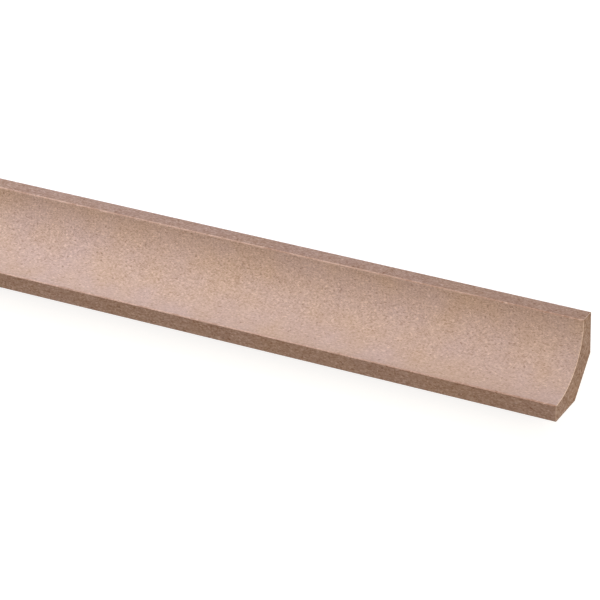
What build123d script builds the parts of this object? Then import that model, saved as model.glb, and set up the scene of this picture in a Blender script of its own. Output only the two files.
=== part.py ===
"""One length of cove cornice moulding, milled in one piece from a 25 mm MDF board.

The section has a quarter-round hollow between two narrow flat strips. Behind them, two flat
faces at right angles bear on the wall and on the ceiling, and an oblique back joins those two
faces, so that the moulding stays clear of an uneven corner of the room. The length lies on its
oblique back, with the hollow upwards. X runs along the length, and the origin is at the middle
of the back.
"""

import os
from math import sqrt

from build123d import *

# Driving dimensions, in millimetres
STOCK_LENGTH = 2440.0  # one length as sold, square-cut at both ends
LEG = 45.0  # reach of the section along the wall, and along the ceiling
EDGE_STRIP = 10.0  # width of the flat strip between the hollow and each bearing face
BEARING_FACE = 25.0  # width of the face on the wall, and of the one on the ceiling
COVE_ARRIS = 0.8  # rounding of the two arrises that border the hollow
BACK_ARRIS = 0.4  # rounding of the four arrises that border the bearing faces

# Sizes that follow from them
COVE_RADIUS = LEG - EDGE_STRIP  # the hollow is a full quarter, square to both strips
BACK_SETBACK = LEG - BEARING_FACE  # from the corner of the room to each edge of the oblique back
BACK_CLEARANCE = BACK_SETBACK / sqrt(2)  # from the corner of the room to the middle of that back


def cornice_section() -> Sketch:
    """Draws the section as fixed: X is the distance from the wall, and Y the drop from the ceiling."""
    wall_back = (0, BACK_SETBACK)
    wall_edge = (0, LEG)
    cove_foot = (EDGE_STRIP, LEG)
    cove_head = (LEG, EDGE_STRIP)
    ceiling_edge = (LEG, 0)
    ceiling_back = (BACK_SETBACK, 0)
    cove_axis = (LEG, LEG)
    with BuildSketch() as section:
        with BuildLine():
            Polyline(cove_head, ceiling_edge, ceiling_back, wall_back, wall_edge, cove_foot)
            CenterArc(cove_axis, COVE_RADIUS, start_angle=180, arc_size=90)
        make_face()
        # the two arrises of the hollow are the nearest ones to its axis
        fillet(section.vertices().sort_by_distance(cove_axis)[2:], BACK_ARRIS)
        fillet(section.vertices().sort_by_distance(cove_axis)[:2], COVE_ARRIS)
    return section.sketch


def cornice_moulding() -> Part:
    """Runs the section along the whole length, laid down on the oblique back."""
    sawn_end = Plane(
        origin=(-STOCK_LENGTH / 2, 0, -BACK_CLEARANCE),
        x_dir=(0, 1, 1),
        z_dir=(1, 0, 0),
    )
    return extrude(sawn_end * cornice_section(), amount=STOCK_LENGTH)


os.makedirs("parts", exist_ok=True)
moulding = cornice_moulding()
moulding.label = "cornice_moulding"
export_step(moulding, "parts/cornice_moulding.step")
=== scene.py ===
"""A length of raw MDF cove cornice moulding, dressed for the camera as it lies on its oblique back.

The moulding is modelled from the section's own sizes, over the length that the frame gives, and
finished zone by zone: the sanded hollow with its arrises and saw edges, the planed edge strips and
bearing faces, the board face at the back and the sawn ends. Sizes are in metres unless a name says
millimetres.
"""

import logging
import math
from collections.abc import Callable
from dataclasses import dataclass, field
from enum import Enum

import bmesh
import bpy
from mathutils import Matrix, Vector


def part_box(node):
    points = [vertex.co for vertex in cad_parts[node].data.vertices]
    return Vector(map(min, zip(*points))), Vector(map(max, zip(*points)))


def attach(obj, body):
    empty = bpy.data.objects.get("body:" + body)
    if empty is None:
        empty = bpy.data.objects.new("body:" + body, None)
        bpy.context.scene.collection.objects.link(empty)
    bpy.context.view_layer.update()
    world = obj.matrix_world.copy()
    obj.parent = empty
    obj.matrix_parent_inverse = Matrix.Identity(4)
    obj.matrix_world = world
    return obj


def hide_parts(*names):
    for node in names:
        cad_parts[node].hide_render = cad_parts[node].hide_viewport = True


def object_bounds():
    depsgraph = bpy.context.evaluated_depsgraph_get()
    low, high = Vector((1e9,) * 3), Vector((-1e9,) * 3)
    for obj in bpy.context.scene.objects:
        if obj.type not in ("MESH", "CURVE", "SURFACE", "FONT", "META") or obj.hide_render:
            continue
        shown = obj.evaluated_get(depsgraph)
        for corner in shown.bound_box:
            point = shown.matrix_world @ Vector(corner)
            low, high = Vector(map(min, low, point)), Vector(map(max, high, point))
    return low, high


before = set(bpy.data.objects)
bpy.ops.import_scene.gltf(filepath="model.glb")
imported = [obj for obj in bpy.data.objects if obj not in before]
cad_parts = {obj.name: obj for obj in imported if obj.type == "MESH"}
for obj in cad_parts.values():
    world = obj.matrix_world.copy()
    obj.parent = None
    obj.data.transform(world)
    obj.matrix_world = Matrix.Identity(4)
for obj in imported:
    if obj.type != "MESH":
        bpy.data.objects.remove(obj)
CAD_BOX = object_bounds()
NODE = "cornice_moulding"
MM = 0.001
SMALL = 1e-5
# turns the photographed pose, standing on the wall face, to lying on the back
LIE_BACK = math.radians(-45.0)
log = logging.getLogger("cornice")

Tree = bpy.types.NodeTree
Socket = bpy.types.NodeSocket


def linear(code: str) -> tuple[float, float, float, float]:
    """Turns an sRGB hex colour to linear light.

    Args:
        code: six hex digits, red first.

    Returns:
        Red, green, blue and a full alpha.
    """
    shares = [int(code[k : k + 2], 16) / 255 for k in (0, 2, 4)]
    red, green, blue = [s / 12.92 if s <= 0.04045 else ((s + 0.055) / 1.055) ** 2.4 for s in shares]
    return red, green, blue, 1.0


def add_node(
    tree: Tree, kind: str, inputs: dict[str | int, object] | None = None, **settings: object
) -> bpy.types.Node:
    """Adds one shader node with its settings, values and links.

    Args:
        tree: the node tree that takes it.
        kind: Blender's name of the node type, without the ShaderNode in front.
        inputs: a value, or an output socket to link, for each input by name or number.
        **settings: the node's own properties.

    Returns:
        The new node.
    """
    node = tree.nodes.new("ShaderNode" + kind)
    for name, value in settings.items():
        setattr(node, name, value)
    for name, value in (inputs or {}).items():
        if isinstance(value, Socket):
            tree.links.new(value, node.inputs[name])
        else:
            node.inputs[name].default_value = value
    return node


def lying(point_mm: tuple[float, float, float]) -> Vector:
    """Turns millimetres along, back and up in the photographed pose to metres in the lying one."""
    return Matrix.Rotation(LIE_BACK, 3, "X") @ Vector(point_mm) * MM


class Zone(Enum):
    """The moulding's surfaces, by how each of them was cut."""

    COVE = "sanded_cove"
    ARRIS = "eased_arris_painted_highlight"
    SAW_EDGE = "saw_edge_painted_highlight"
    STRIP = "planed_strip"
    BEARING = "planed_bearing_face"
    BACK = "board_face"
    END = "sawn_end"


class Marks(Enum):
    """What a cutter leaves on a face besides the grain."""

    NONE = "sanded off"
    KNIFE_LINES = "fine lines along the feed, from nicks in the moulder's knives"
    SAW_ARCS = "shallow arcs, from the teeth of the crosscut saw"


# fibres lie three ways in the plane of the board, in degrees, more of them along its length
FIBRE_TURNS = (8.0, 45.0, 150.0)
BEND_LENGTHS = 1.6  # a fibre's bend over its own length
FLATNESS = 1.5  # a fibre's width over its thickness
FIBRE_BODY = {"From Min": 0.25, "From Max": 0.6, "To Min": 1.0, "To Max": 0.0}
FEW_PALE = {"From Min": 0.9, "From Max": 0.96}
FELT_RELIEF = 0.4  # the coarse bundles' part in the relief, beside the whole of the fine ones
DRIFT_SHARE = 0.06
GREY_SHARE = 0.7
BLUSH_PATCHES = {"From Min": 0.35, "From Max": 0.65}
# the pressed skin on both faces of the board, 3 mm deep, against its open core
BOARD_SKIN = {"From Max": 3.0, "To Min": -0.09, "To Max": -0.03}
SPECK_FEW = {"From Min": 0.4, "From Max": 0.8}
SPECK_RIM = {"From Min": 0.1, "From Max": 0.2, "To Max": 0.0}
KNIFE_DRAW = (0.005, 1.0, 1.0)  # a nick in a knife draws a line 200 times as long as it is wide
NICK_MM = 0.9
# a 300 mm blade that rose through the cut from below the back, by the way from its hub
SAW_HUB_MM = (0.0, 40.0, 135.0)
TOOTH_MM = 1.1


@dataclass(frozen=True)
class MdfFinish:
    """Raw medium-density fibreboard, cut in one way.

    Wood fibre felted and pressed with resin: a matt brown ground of short fibre bundles, some paler
    and some darker, with sparse dark specks of bark. The bundles lie flat in the board, so a cut
    across its thickness shows them thin, and both pressed faces are denser and darker.
    """

    name: str
    ground: str
    blush: str
    fibre: str
    speck: str
    felt_spread: float = 0.27
    fine_spread: float = 0.34
    # painted relief shade: the fine grain's share grows across the hollow, as raking light would shade
    # it
    painted_relief_shade: float = 0.0
    relief_shade_reach_mm: float = 25.0
    # painted shade: how far from either end the ground darkens to its blush
    painted_end_shade_mm: float = 0.0
    fibre_share: float = 0.5
    speck_share: float = 0.48
    relief_mm: float = 0.07
    roughness: float = 0.88
    specular: float = 0.3
    refraction: float = 1.45
    marks: Marks = Marks.NONE
    marks_share: float = 0.25
    # a bundle is 0.2 to 0.4 mm wide: the coarse ones are drawn wider, as the photo's pixels show them
    bundle_mm: tuple[float, float] = (2.6, 0.85)
    fine_mm: tuple[float, float] = (1.9, 0.3)
    speck_mm: float = 4.2
    drift_mm: float = 34.0
    board_mm: float = 25.0

    def material(self) -> bpy.types.Material:
        """Builds the node material.

        Returns:
            The material, on Object coordinates.
        """
        material = bpy.data.materials.new(self.name)
        material.use_nodes = True
        tree = material.node_tree
        tree.nodes.clear()
        coordinates = add_node(tree, "TexCoord")
        millimetres = add_node(
            tree, "VectorMath", {0: coordinates.outputs["Object"], "Scale": 1 / MM}, operation="SCALE"
        )
        place = millimetres.outputs["Vector"]
        felt, pale = self.felt(tree, place, *self.bundle_mm)
        fine, pale_fine = self.felt(tree, place, *self.fine_mm)
        shades = [
            (felt, self.felt_spread),
            (fine, self.fine_share(tree, place)),
            *self.cutter_marks(tree, place),
        ]
        colour = self.ground_colour(tree, place, shades)
        for code, share in (
            (self.fibre, pale),
            (self.fibre, pale_fine),
            (self.speck, self.specks(tree, place)),
        ):
            mixed = add_node(
                tree, "Mix", {"Factor": share, "A": colour, "B": linear(code)}, data_type="RGBA"
            )
            colour = mixed.outputs["Result"]
        raised = add_node(tree, "Math", {0: felt, 1: FELT_RELIEF, 2: fine}, operation="MULTIPLY_ADD")
        bump = add_node(
            tree,
            "Bump",
            {"Height": raised.outputs["Value"], "Distance": self.relief_mm * MM, "Strength": 1.0},
        )
        shader = add_node(
            tree,
            "BsdfPrincipled",
            {
                "Base Color": colour,
                "Roughness": self.roughness,
                "Specular IOR Level": self.specular,
                "IOR": self.refraction,
                "Normal": bump.outputs["Normal"],
            },
        )
        add_node(tree, "OutputMaterial", {"Surface": shader.outputs["BSDF"]})
        return material

    def felt(
        self, tree: Tree, place: Socket, length_mm: float, width_mm: float
    ) -> tuple[Socket, Socket]:
        """Lays short curved fibres three ways in the plane of the board.

        Args:
            tree: the material's nodes.
            place: the place on the piece, in millimetres.
            length_mm: the length of a fibre.
            width_mm: its width, and across the board its thickness is two thirds of that.

        Returns:
            How much paler or darker the felt is, about 0, and the share of the few pale fibres.
        """
        bends = add_node(
            tree, "TexNoise", {"Vector": place, "Scale": 1 / (BEND_LENGTHS * length_mm), "Detail": 1.0}
        )
        bent = add_node(
            tree,
            "VectorMath",
            {0: bends.outputs["Color"], 1: (length_mm, length_mm, 0.0), 2: place},
            operation="MULTIPLY_ADD",
        )
        tone, pale = 0.0, 0.0
        for turn in FIBRE_TURNS:
            turned = add_node(
                tree,
                "Mapping",
                {
                    "Vector": bent.outputs["Vector"],
                    "Rotation": (0.0, 0.0, math.radians(turn)),
                    "Scale": (length_mm, width_mm, width_mm / FLATNESS),
                },
                vector_type="TEXTURE",
            )
            cells = add_node(tree, "TexVoronoi", {"Vector": turned.outputs["Vector"], "Scale": 1.0})
            chance = add_node(tree, "SeparateColor", {"Color": cells.outputs["Color"]})
            body = add_node(tree, "MapRange", {"Value": cells.outputs["Distance"], **FIBRE_BODY})
            shift = add_node(tree, "Math", {0: chance.outputs["Red"], 1: 0.5}, operation="SUBTRACT")
            added = add_node(
                tree,
                "Math",
                {0: shift.outputs["Value"], 1: body.outputs["Result"], 2: tone},
                operation="MULTIPLY_ADD",
            )
            tone = added.outputs["Value"]
            few = add_node(
                tree,
                "MapRange",
                {"Value": chance.outputs["Green"], **FEW_PALE, "To Max": self.fibre_share},
            )
            more = add_node(
                tree,
                "Math",
                {0: few.outputs["Result"], 1: body.outputs["Result"], 2: pale},
                operation="MULTIPLY_ADD",
            )
            pale = more.outputs["Value"]
        return tone, pale

    def fine_share(self, tree: Tree, place: Socket) -> float | Socket:
        """Gives the fine grain's share in the tone, painted stronger towards the far rim as relief
        shade where raking light falls.

        Args:
            tree: the material's nodes.
            place: the place on the piece, in millimetres.

        Returns:
            One share for the whole face, or a socket that grows from the wall side to the other, as
            painted relief shade.
        """
        if not self.painted_relief_shade:
            return self.fine_spread
        # painted relief shade: the grain grows stronger towards the far rim
        axes = add_node(tree, "SeparateXYZ", {"Vector": place})
        leaning = add_node(
            tree,
            "MapRange",
            {
                "Value": axes.outputs["Y"],
                "From Min": -self.relief_shade_reach_mm,
                "From Max": self.relief_shade_reach_mm,
                "To Min": self.fine_spread * (1 - self.painted_relief_shade),
                "To Max": self.fine_spread * (1 + self.painted_relief_shade),
            },
        )
        return leaning.outputs["Result"]

    def blush_share(self, tree: Tree, place: Socket, drift: Socket) -> Socket:
        """Turns the ground to its blush in patches, and, as painted shade, within a set reach of
        either end.

        Args:
            tree: the material's nodes.
            place: the place on the piece, in millimetres.
            drift: a slow noise from 0 to 1.

        Returns:
            A socket with the blush's share.
        """
        patches = add_node(tree, "MapRange", {"Value": drift, **BLUSH_PATCHES})
        if not self.painted_end_shade_mm:
            return patches.outputs["Result"]
        # painted shade: the blush takes over near either end, where less light falls
        end_mm = CAD_BOX[1][0] / MM
        axes = add_node(tree, "SeparateXYZ", {"Vector": place})
        from_middle = add_node(tree, "Math", {0: axes.outputs["X"]}, operation="ABSOLUTE")
        lifted = add_node(
            tree,
            "MapRange",
            {
                "Value": from_middle.outputs["Value"],
                "From Min": end_mm - self.painted_end_shade_mm,
                "From Max": end_mm,
            },
        )
        both = add_node(
            tree,
            "Math",
            {0: patches.outputs["Result"], 1: lifted.outputs["Result"]},
            operation="MAXIMUM",
        )
        return both.outputs["Value"]

    def ground_colour(
        self, tree: Tree, place: Socket, shades: list[tuple[Socket, float | Socket]]
    ) -> Socket:
        """Mottles the ground: a slow drift of hue and tone, the denser faces of the board and more.

        Args:
            tree: the material's nodes.
            place: the place on the piece, in millimetres.
            shades: more sockets that vary about 0, each with its share in the tone.

        Returns:
            The colour socket.
        """
        drift = add_node(
            tree, "TexNoise", {"Vector": place, "Scale": 1 / self.drift_mm, "Detail": 2.0}
        )
        slow = add_node(tree, "SeparateColor", {"Color": drift.outputs["Color"]})
        blushed = self.blush_share(tree, place, slow.outputs["Red"])
        ground = add_node(
            tree,
            "Mix",
            {"Factor": blushed, "A": linear(self.ground), "B": linear(self.blush)},
            data_type="RGBA",
        )
        axes = add_node(tree, "SeparateXYZ", {"Vector": place})
        depth = add_node(
            tree, "Math", {0: axes.outputs["Z"], 1: self.board_mm / 2}, operation="PINGPONG"
        )
        dense = add_node(tree, "MapRange", {"Value": depth.outputs["Value"], **BOARD_SKIN})
        tone = dense.outputs["Result"]
        for socket, share in ((slow.outputs["Green"], DRIFT_SHARE), *shades):
            added = add_node(tree, "Math", {0: socket, 1: share, 2: tone}, operation="MULTIPLY_ADD")
            tone = added.outputs["Value"]
        grey = add_node(tree, "RGBToBW", {"Color": ground.outputs["Result"]})
        # a fibre differs from its neighbours more in tone than in hue
        step = add_node(
            tree,
            "Mix",
            {"Factor": GREY_SHARE, "A": ground.outputs["Result"], "B": grey.outputs["Val"]},
            data_type="RGBA",
        )
        shaded = add_node(
            tree,
            "VectorMath",
            {0: step.outputs["Result"], 1: tone, 2: ground.outputs["Result"]},
            operation="MULTIPLY_ADD",
        )
        return shaded.outputs["Vector"]

    def cutter_marks(self, tree: Tree, place: Socket) -> list[tuple[Socket, float]]:
        """Draws the cutter's marks as faint light and dark lines.

        Args:
            tree: the material's nodes.
            place: the place on the piece, in millimetres.

        Returns:
            Each set of marks with its share in the tone, none where they are sanded off.
        """
        if self.marks is Marks.NONE:
            return []
        if self.marks is Marks.KNIFE_LINES:
            drawn = add_node(tree, "VectorMath", {0: place, 1: KNIFE_DRAW}, operation="MULTIPLY")
            lines = add_node(
                tree,
                "TexNoise",
                {"Vector": drawn.outputs["Vector"], "Scale": 1 / NICK_MM, "Detail": 2.0},
            )
        else:
            hub = add_node(tree, "VectorMath", {0: place, 1: SAW_HUB_MM}, operation="ADD")
            across = add_node(
                tree,
                "VectorMath",
                {0: hub.outputs["Vector"], 1: (0.0, 1.0, 1.0)},
                operation="MULTIPLY",
            )
            radius = add_node(tree, "VectorMath", {0: across.outputs["Vector"]}, operation="LENGTH")
            lines = add_node(
                tree,
                "TexNoise",
                {"W": radius.outputs["Value"], "Scale": 1 / TOOTH_MM, "Detail": 2.0},
                noise_dimensions="1D",
            )
        centred = add_node(tree, "Math", {0: lines.outputs["Fac"], 1: 0.5}, operation="SUBTRACT")
        return [(centred.outputs["Value"], self.marks_share)]

    def specks(self, tree: Tree, place: Socket) -> Socket:
        """Scatters dark specks of bark, about one in every second cell.

        Args:
            tree: the material's nodes.
            place: the place on the piece, in millimetres.

        Returns:
            A socket with the speck's share, 0 beside it.
        """
        cells = add_node(tree, "TexVoronoi", {"Vector": place, "Scale": 1 / self.speck_mm})
        chance = add_node(tree, "SeparateColor", {"Color": cells.outputs["Color"]})
        kept = add_node(tree, "MapRange", {"Value": chance.outputs["Red"], **SPECK_FEW})
        spot = add_node(
            tree,
            "MapRange",
            {"Value": cells.outputs["Distance"], **SPECK_RIM, "To Min": self.speck_share},
        )
        sparse = add_node(
            tree, "Math", {0: spot.outputs["Result"], 1: kept.outputs["Result"]}, operation="MULTIPLY"
        )
        return sparse.outputs["Value"]


FINISHES: dict[Zone, MdfFinish] = {
    # cut into the open core and sanded: the palest face, soft, slightly pink, its fine grain painted
    # stronger towards the far rim as relief shade
    Zone.COVE: MdfFinish(
        "Raw MDF, sanded cove",
        ground="CFB09B",
        blush="CEB2A7",
        fibre="EDD1BF",
        speck="8F6E5D",
        felt_spread=0.29,
        fine_spread=0.43,
        painted_relief_shade=0.62,
    ),
    # rubbed over with the sanding pad: a little paler, in patches, and painted paler again as a
    # highlight along the crest; painted shade darkens it towards the ends
    Zone.ARRIS: MdfFinish(
        "Raw MDF, eased arris with painted highlight",
        ground="E2C1B0",
        blush="C5A08E",
        fibre="F1D2C0",
        speck="A88776",
        painted_end_shade_mm=240.0,
        speck_share=0.3,
        drift_mm=9.0,
    ),
    # where the saw broke through: a painted highlight, a pale line along the rounding of the end
    Zone.SAW_EDGE: MdfFinish(
        "Raw MDF, saw edge with painted highlight",
        ground="E7CCBA",
        blush="DABDAA",
        fibre="F4DFD1",
        speck="BC9A87",
        speck_share=0.2,
        drift_mm=9.0,
    ),
    # cut by the planer heads and left: browner and a little burnished
    Zone.STRIP: MdfFinish(
        "Raw MDF, planed strip",
        ground="AA8A77",
        blush="AA8B7C",
        fibre="C9AC99",
        speck="6E5140",
        felt_spread=0.58,
        fine_spread=0.52,
        bundle_mm=(2.7, 1.1),
        marks=Marks.KNIFE_LINES,
        marks_share=0.2,
    ),
    # planed like the strips, with a calmer grain: the faces that go against wall and ceiling
    Zone.BEARING: MdfFinish(
        "Raw MDF, planed bearing face",
        ground="A78876",
        blush="A7897A",
        fibre="C6AA98",
        speck="6E5140",
        felt_spread=0.44,
        bundle_mm=(2.7, 1.1),
        marks=Marks.KNIFE_LINES,
    ),
    # the pressed face of the board: denser and smoother
    Zone.BACK: MdfFinish(
        "Raw MDF, board face",
        ground="B08E79",
        blush="AF8E7D",
        fibre="C4A48F",
        speck="8E6E58",
        relief_mm=0.03,
    ),
    # torn by the saw: rough and dark
    Zone.END: MdfFinish(
        "Raw MDF, sawn end",
        ground="A08471",
        blush="9F8474",
        fibre="C2A796",
        speck="5E4334",
        felt_spread=0.9,
        fine_spread=0.8,
        relief_mm=0.12,
        bundle_mm=(2.8, 1.4),
        marks=Marks.SAW_ARCS,
    ),
}


# the faces are told apart by the cosine of the way they look
FLAT = 0.95  # from here on a face looks straight along an axis
END_LEAN = 0.1  # from here on it belongs to a sawn end or to the rounding of one
SAW_LEAN = 0.7  # below this it is the strip's own side of that rounding
STRIP_LEAN = 0.9  # below this it is the hollow's side of the arris, rubbed paler and painted with a highlight
ARRIS_REACH = 0.95  # of the arris's size, how far from the corner its faces lie


@dataclass
class CorniceMoulding:
    """One length of cove moulding, shaped as the moulder shapes it and eased along its arrises."""

    leg: float = 45.0 * MM
    edge_strip: float = 10.0 * MM
    bearing_face: float = 25.0 * MM
    cove_arris: float = 0.8 * MM
    back_arris: float = 0.4 * MM
    end_arris: float = 0.3 * MM
    arris_wear: float = 0.2 * MM
    wear_patch: float = 14.0 * MM
    # distance from the corner in arris sizes, and the share of the wear: most at the crown
    wear_rows: tuple[tuple[float, float], ...] = ((0.65, 0.5), (0.43, 1.0))
    cove_steps: int = 40
    bands: int = 4
    rings_per_band: int = 61
    smooth_degrees: float = 40.0
    unwrap_margin: float = 0.002
    pack_margin: float = 0.004
    half_length: float = field(init=False)
    piece: bpy.types.Object = field(init=False)

    def __post_init__(self) -> None:
        """Takes the length from the frame's own box."""
        low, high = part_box(NODE)
        self.half_length = (high.x - low.x) / 2

    @property
    def cove_radius(self) -> float:
        """Gives the radius of the hollow, a full quarter that is square to both strips."""
        return self.leg - self.edge_strip

    @property
    def cove_axis(self) -> Vector:
        """Gives the point over the middle that the hollow turns about."""
        return Vector((0.0, 0.0, (self.leg + self.bearing_face) * math.sqrt(0.5)))

    @property
    def rim(self) -> Vector:
        """Gives the far corner between the hollow and its edge strip."""
        return Vector((0.0, self.cove_radius, self.edge_strip + self.bearing_face)) * math.sqrt(0.5)

    @property
    def outer(self) -> Vector:
        """Gives the far corner between an edge strip and its bearing face."""
        return Vector((0.0, self.leg, self.bearing_face)) * math.sqrt(0.5)

    @property
    def heel(self) -> Vector:
        """Gives the far corner between a bearing face and the oblique back."""
        return Vector((0.0, self.leg - self.bearing_face, 0.0)) * math.sqrt(0.5)

    def build(self) -> bpy.types.Object:
        """Models the moulding, dresses it and lays out its map.

        Returns:
            The finished mesh object, at the origin.
        """
        self.run_section()
        self.ease_arrises()
        self.cut_rings()
        self.dress()
        self.lay_out_bake_map()
        self.wear_arrises()
        self.smooth()
        return self.piece

    def run_section(self) -> None:
        """Starts from the near edge strip, spins the hollow from it and runs on round the section."""
        near = Vector((0.0, -1.0, 1.0))
        near_outer = self.outer * near
        near_rim = self.rim * near
        bpy.ops.object.select_all(action="DESELECT")
        bpy.ops.mesh.primitive_plane_add(
            size=1.0,
            calc_uvs=False,
            location=(near_outer + near_rim) / 2,
            rotation=(-LIE_BACK, 0.0, 0.0),
        )
        self.piece = bpy.context.active_object
        self.piece.name = "cove_moulding"
        self.piece.data.name = "cove_moulding"
        self.piece.scale = (2 * self.half_length, self.edge_strip, 1.0)
        bpy.ops.object.transform_apply(location=True, rotation=True, scale=True)
        bpy.ops.object.mode_set(mode="EDIT")
        self.choose_edges(lambda middle, way: (middle - near_rim).length < SMALL)
        bpy.ops.mesh.spin(
            steps=self.cove_steps, angle=math.pi / 2, center=self.cove_axis, axis=(-1.0, 0.0, 0.0)
        )
        corners = (self.rim, self.outer, self.heel, self.heel * near, near_outer)
        for here, there in zip(corners, corners[1:]):
            bpy.ops.mesh.extrude_edges_move(TRANSFORM_OT_translate={"value": there - here})
        bpy.ops.mesh.select_all(action="SELECT")
        bpy.ops.mesh.remove_doubles(threshold=SMALL)
        bpy.ops.mesh.fill_holes(sides=0)
        bpy.ops.mesh.select_all(action="SELECT")
        bpy.ops.mesh.normals_make_consistent(inside=False)
        bpy.ops.object.mode_set(mode="OBJECT")

    def ease_arrises(self) -> None:
        """Rounds the arrises along the length, then those round both sawn ends."""
        blunt = math.tan(math.radians(22.5))  # the back meets the bearing faces at 135 degrees
        rounds = (
            (self.rim, self.cove_arris, 4),
            (self.outer, self.back_arris, 3),
            (self.heel, self.back_arris * blunt, 2),
        )
        bpy.ops.object.mode_set(mode="EDIT")
        for corner, offset, segments in rounds:
            self.choose_edges(lambda middle, way: self.from_corner(middle, corner) < SMALL)
            self.round_chosen(offset, segments)
        self.choose_edges(lambda middle, way: abs(middle.x) > self.half_length - SMALL)
        self.round_chosen(self.end_arris, 2)
        bpy.ops.object.mode_set(mode="OBJECT")

    def round_chosen(self, offset: float, segments: int) -> None:
        """Rounds the chosen edges over.

        Args:
            offset: how far the rounding reaches from the edge.
            segments: the number of faces across it.
        """
        bpy.ops.mesh.bevel(
            offset=offset, segments=segments, profile=0.5, affect="EDGES", clamp_overlap=False
        )

    def cut_rings(self) -> None:
        """Divides the length into bands, each band into rings of faces, and each ring in two."""
        bpy.ops.object.mode_set(mode="EDIT")
        for parts in (self.bands, self.rings_per_band, 2):
            self.choose_edges(lambda middle, way: abs(way.x) > self.cove_arris)
            bpy.ops.mesh.subdivide(number_cuts=parts - 1)
        bpy.ops.object.mode_set(mode="OBJECT")

    def wear_arrises(self) -> None:
        """Rubs the two arrises of the hollow down by uneven amounts, as a sanding pad does."""
        group = self.piece.vertex_groups.new(name="cove_arrises")
        bpy.ops.object.mode_set(mode="EDIT")
        for reach, weight in self.wear_rows:
            self.choose_edges(
                lambda middle, way: self.from_corner(middle, self.rim) < reach * self.cove_arris
                and abs(way.x) > self.cove_arris
            )
            bpy.context.scene.tool_settings.vertex_group_weight = weight
            bpy.ops.object.vertex_group_assign()
        bpy.ops.object.mode_set(mode="OBJECT")
        rubbing = bpy.data.textures.new("uneven_rubbing", "CLOUDS")
        rubbing.noise_scale = self.wear_patch
        modifier = self.piece.modifiers.new("worn_arrises", "DISPLACE")
        modifier.texture = rubbing
        modifier.texture_coords = "LOCAL"
        modifier.vertex_group = group.name
        modifier.strength = self.arris_wear
        modifier.mid_level = 1.0  # only ever inwards
        bpy.ops.object.modifier_apply(modifier=modifier.name)

    def lay_out_bake_map(self) -> None:
        """Lays the surface out flat, in bands, so that a square map holds the long strip evenly."""
        self.piece.data.uv_layers.new(name="OFBake")
        # the rounding of an end goes with that end
        flat_length = 2 * (self.half_length - self.end_arris)
        cuts = [flat_length * (k / self.bands - 0.5) for k in range(self.bands + 1)]

        def is_seam(middle: Vector, way: Vector) -> bool:
            """Tells whether the map is cut along this edge."""
            if abs(way.x) < SMALL:
                return min(abs(middle.x - x) for x in cuts) < SMALL
            return abs(way.x) > self.cove_arris and abs(middle.z) < SMALL and middle.y > 0

        bpy.ops.object.mode_set(mode="EDIT")
        self.choose_edges(is_seam)
        bpy.ops.mesh.mark_seam(clear=False)
        bpy.ops.mesh.select_all(action="SELECT")
        bpy.ops.uv.unwrap(method="CONFORMAL", margin=self.unwrap_margin)
        bpy.ops.uv.select_all(action="SELECT")
        bpy.ops.uv.pack_islands(rotate=True, scale=True, margin=self.pack_margin)
        bpy.ops.object.mode_set(mode="OBJECT")

    def zone_of(self, centre: Vector, normal: Vector) -> Zone:
        """Names the cut that made a face.

        Args:
            centre: the middle of the face.
            normal: the way it looks.

        Returns:
            Its zone.
        """
        from_axis = math.hypot(centre.y, centre.z - self.cove_axis.z)
        along = abs(normal.x)
        if along > END_LEAN:
            # the painted highlight of a saw edge goes along the hollow and along the strips' tops
            in_hollow = along < FLAT and from_axis < self.cove_radius + self.end_arris
            on_strip = along < SAW_LEAN and normal.z > 0
            return Zone.SAW_EDGE if in_hollow or on_strip else Zone.END
        strip_way = Vector((0.0, math.copysign(1.0, centre.y), 1.0)).normalized()
        on_arris = self.from_corner(centre, self.rim) < ARRIS_REACH * self.cove_arris
        # the pad rubs the hollow's side of the rounding paler, and the painted highlight goes there
        # too; the strip's side keeps the strip's finish
        if on_arris and normal.dot(strip_way) < STRIP_LEAN:
            return Zone.ARRIS
        if from_axis < self.cove_radius + SMALL:
            return Zone.COVE
        if normal.z < -FLAT:
            return Zone.BACK
        return Zone.BEARING if normal.z < 0 else Zone.STRIP

    def dress(self) -> None:
        """Gives each zone its own finish."""
        zones = list(Zone)
        for zone in zones:
            self.piece.data.materials.append(FINISHES[zone].material())
        for face in self.piece.data.polygons:
            face.material_index = zones.index(self.zone_of(face.center, face.normal))

    def smooth(self) -> None:
        """Shades the hollow and the arrises round, and keeps the flats flat."""
        bpy.ops.object.shade_smooth_by_angle(angle=math.radians(self.smooth_degrees))
        modifier = self.piece.modifiers.new("flat_faces", "WEIGHTED_NORMAL")
        modifier.keep_sharp = True
        bpy.ops.object.modifier_apply(modifier=modifier.name)

    def from_corner(self, point: Vector, corner: Vector) -> float:
        """Measures, in the section, how far a point is from a corner or from its mirror image."""
        return math.hypot(abs(point.y) - corner.y, point.z - corner.z)

    def choose_edges(self, test: Callable[[Vector, Vector], bool]) -> None:
        """Selects only the edges that pass a test.

        Args:
            test: takes an edge's middle and the vector from one end to the other.
        """
        bpy.ops.mesh.select_mode(type="EDGE")
        bpy.ops.mesh.select_all(action="DESELECT")
        mesh = bmesh.from_edit_mesh(self.piece.data)
        for edge in mesh.edges:
            start, stop = edge.verts[0].co, edge.verts[1].co
            if test((start + stop) / 2, stop - start):
                edge.select_set(True)
        bmesh.update_edit_mesh(self.piece.data)


@dataclass(frozen=True)
class BroadSun:
    """One soft light from far off, by the way towards it in the photographed pose."""

    name: str
    towards: tuple[float, float, float]
    strength: float
    colour: str
    spread_degrees: float = 50.0

    def hang(self) -> bpy.types.Object:
        """Adds the light.

        Returns:
            The light object.
        """
        data = bpy.data.lights.new(self.name, "SUN")
        data.energy = self.strength * math.pi
        data.color = linear(self.colour)[:3]
        data.angle = math.radians(self.spread_degrees)
        light = bpy.data.objects.new(self.name, data)
        light.rotation_mode = "QUATERNION"
        light.rotation_quaternion = lying(self.towards).to_track_quat("Z", "Y")
        bpy.context.scene.collection.objects.link(light)
        return light


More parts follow.
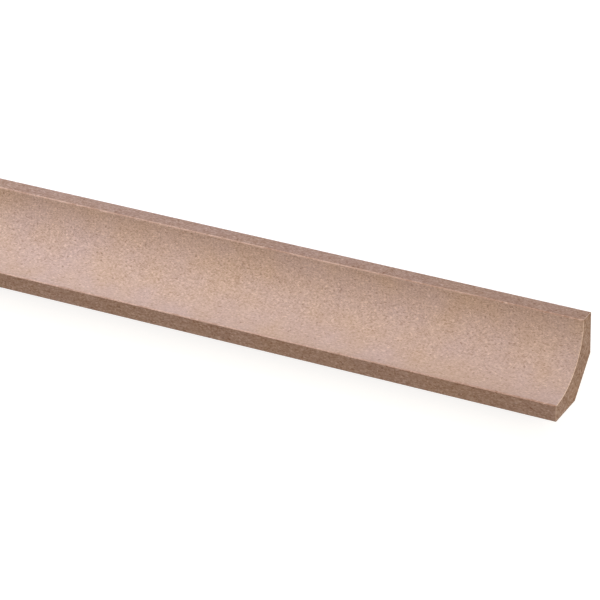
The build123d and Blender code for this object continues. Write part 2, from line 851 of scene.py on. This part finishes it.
@dataclass(frozen=True)
class SoftBox:
    """One square softbox over the moulding, by its place in the photographed pose."""

    name: str
    place_mm: tuple[float, float, float]
    watts: float
    colour: str
    side: float = 0.6

    def hang(self) -> bpy.types.Object:
        """Adds the light, turned to the line that the moulding lies on.

        Returns:
            The light object.
        """
        data = bpy.data.lights.new(self.name, "AREA")
        data.energy = self.watts
        data.color = linear(self.colour)[:3]
        data.size = self.side
        light = bpy.data.objects.new(self.name, data)
        light.location = lying(self.place_mm)
        light.rotation_mode = "QUATERNION"
        light.rotation_quaternion = lying((0.0, *self.place_mm[1:])).to_track_quat("Z", "Y")
        bpy.context.scene.collection.objects.link(light)
        return light


@dataclass
class Studio:
    """A white floor, a white surround and broad lights."""

    floor_size: float = 40.0
    # the floor lights the moulding as grey paper, and is seen as a glow that keeps half the shadow
    paper_grey: float = 0.8
    seen_glow: float = 0.8
    seen_grey: float = 0.4
    ambient: float = 0.247
    ambient_colour: str = "FFF6E8"
    lights: tuple[BroadSun | SoftBox, ...] = (
        SoftBox("top_box_1", (660.0, -20.0, 840.0), 4.6, "CEE0FF"),
        SoftBox("top_box_2", (-660.0, -20.0, 840.0), 4.6, "CEE0FF"),
        BroadSun("camera_side_light", (0.42, -0.26, 0.30), 0.645, "FFF4E4"),
    )

    def build(self) -> None:
        """Adds the floor, the surround and the lights."""
        bpy.ops.object.select_all(action="DESELECT")
        bpy.ops.mesh.primitive_plane_add(size=self.floor_size)
        floor = bpy.context.active_object
        floor.name = "studio_floor"
        floor.data.materials.append(self.floor_material())
        self.surround()
        for light in self.lights:
            light.hang()

    def seen_as_background(self, tree: Tree) -> Socket:
        """Gives 1 to the rays that look at the background.

        Args:
            tree: the node tree of the floor or of the world.

        Returns:
            A socket that is 1 for camera, glossy and transmission rays.
        """
        path = add_node(tree, "LightPath")
        seen = path.outputs["Is Camera Ray"]
        for kind in ("Is Glossy Ray", "Is Transmission Ray"):
            either = add_node(tree, "Math", {0: seen, 1: path.outputs[kind]}, operation="MAXIMUM")
            seen = either.outputs["Value"]
        return seen

    def floor_material(self) -> bpy.types.Material:
        """Makes the white floor, which keeps a faint shadow.

        Returns:
            Its material.
        """
        material = bpy.data.materials.new("White studio floor")
        material.use_nodes = True
        tree = material.node_tree
        tree.nodes.clear()
        paper = add_node(tree, "BsdfDiffuse", {"Color": (*[self.paper_grey] * 3, 1.0)})
        white = add_node(tree, "Emission", {"Strength": self.seen_glow})
        shaded = add_node(tree, "BsdfDiffuse", {"Color": (*[self.seen_grey] * 3, 1.0)})
        bright = add_node(tree, "AddShader", {0: white.outputs[0], 1: shaded.outputs[0]})
        mixed = add_node(
            tree,
            "MixShader",
            {0: self.seen_as_background(tree), 1: paper.outputs[0], 2: bright.outputs[0]},
        )
        add_node(tree, "OutputMaterial", {"Surface": mixed.outputs[0]})
        return material

    def surround(self) -> None:
        """Sets a plain ambient light that the camera sees as white."""
        world = bpy.data.worlds.new("white_surround")
        world.use_nodes = True
        tree = world.node_tree
        tree.nodes.clear()
        soft = add_node(
            tree, "Background", {"Color": linear(self.ambient_colour), "Strength": self.ambient}
        )
        white = add_node(tree, "Background", {"Strength": 1.0})
        mixed = add_node(
            tree,
            "MixShader",
            {0: self.seen_as_background(tree), 1: soft.outputs[0], 2: white.outputs[0]},
        )
        add_node(tree, "OutputWorld", {"Surface": mixed.outputs[0]})
        bpy.context.scene.world = world


@dataclass(frozen=True)
class PhotoCamera:
    """The photograph's camera, turned back with the moulding as it lies.

    The angles and the stand-off hold for the photographed pose, on the wall face: the stand-off
    runs from the near end's front lower corner along the length, to the back and up.
    """

    azimuth: float = 28.58
    elevation: float = 28.66
    roll: float = -1.47
    lens_mm: float = 205.8
    sensor_mm: float = 36.0
    stand_off_mm: tuple[float, float, float] = (635.85, -1450.02, 940.75)

    def place(self, corner: Vector) -> bpy.types.Object:
        """Adds the camera and makes it the scene's.

        Args:
            corner: the near end's front lower corner, as it lies.

        Returns:
            The camera object.
        """
        data = bpy.data.cameras.new("photo_camera")
        data.lens = self.lens_mm
        data.sensor_width = self.sensor_mm
        camera = bpy.data.objects.new("photo_camera", data)
        turn = (
            Matrix.Rotation(LIE_BACK, 4, "X")
            @ Matrix.Rotation(math.radians(self.azimuth), 4, "Z")
            @ Matrix.Rotation(math.radians(90.0 - self.elevation), 4, "X")
            @ Matrix.Rotation(math.radians(self.roll), 4, "Z")
        )
        camera.matrix_world = Matrix.Translation(corner + lying(self.stand_off_mm)) @ turn
        bpy.context.scene.collection.objects.link(camera)
        bpy.context.scene.camera = camera
        return camera


def main() -> None:
    """Builds the moulding, the studio and the camera."""
    logging.basicConfig(level=logging.INFO, format="%(name)s: %(message)s")
    moulding = CorniceMoulding()
    piece = moulding.build()
    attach(piece, "root")
    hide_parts(NODE)
    log.info("%s: %d faces", piece.name, len(piece.data.polygons))
    Studio().build()
    PhotoCamera().place(Vector((moulding.half_length, -moulding.outer.y, moulding.outer.z)))
    bpy.context.scene.view_settings.view_transform = "Standard"


if __name__ == "__main__":
    main()
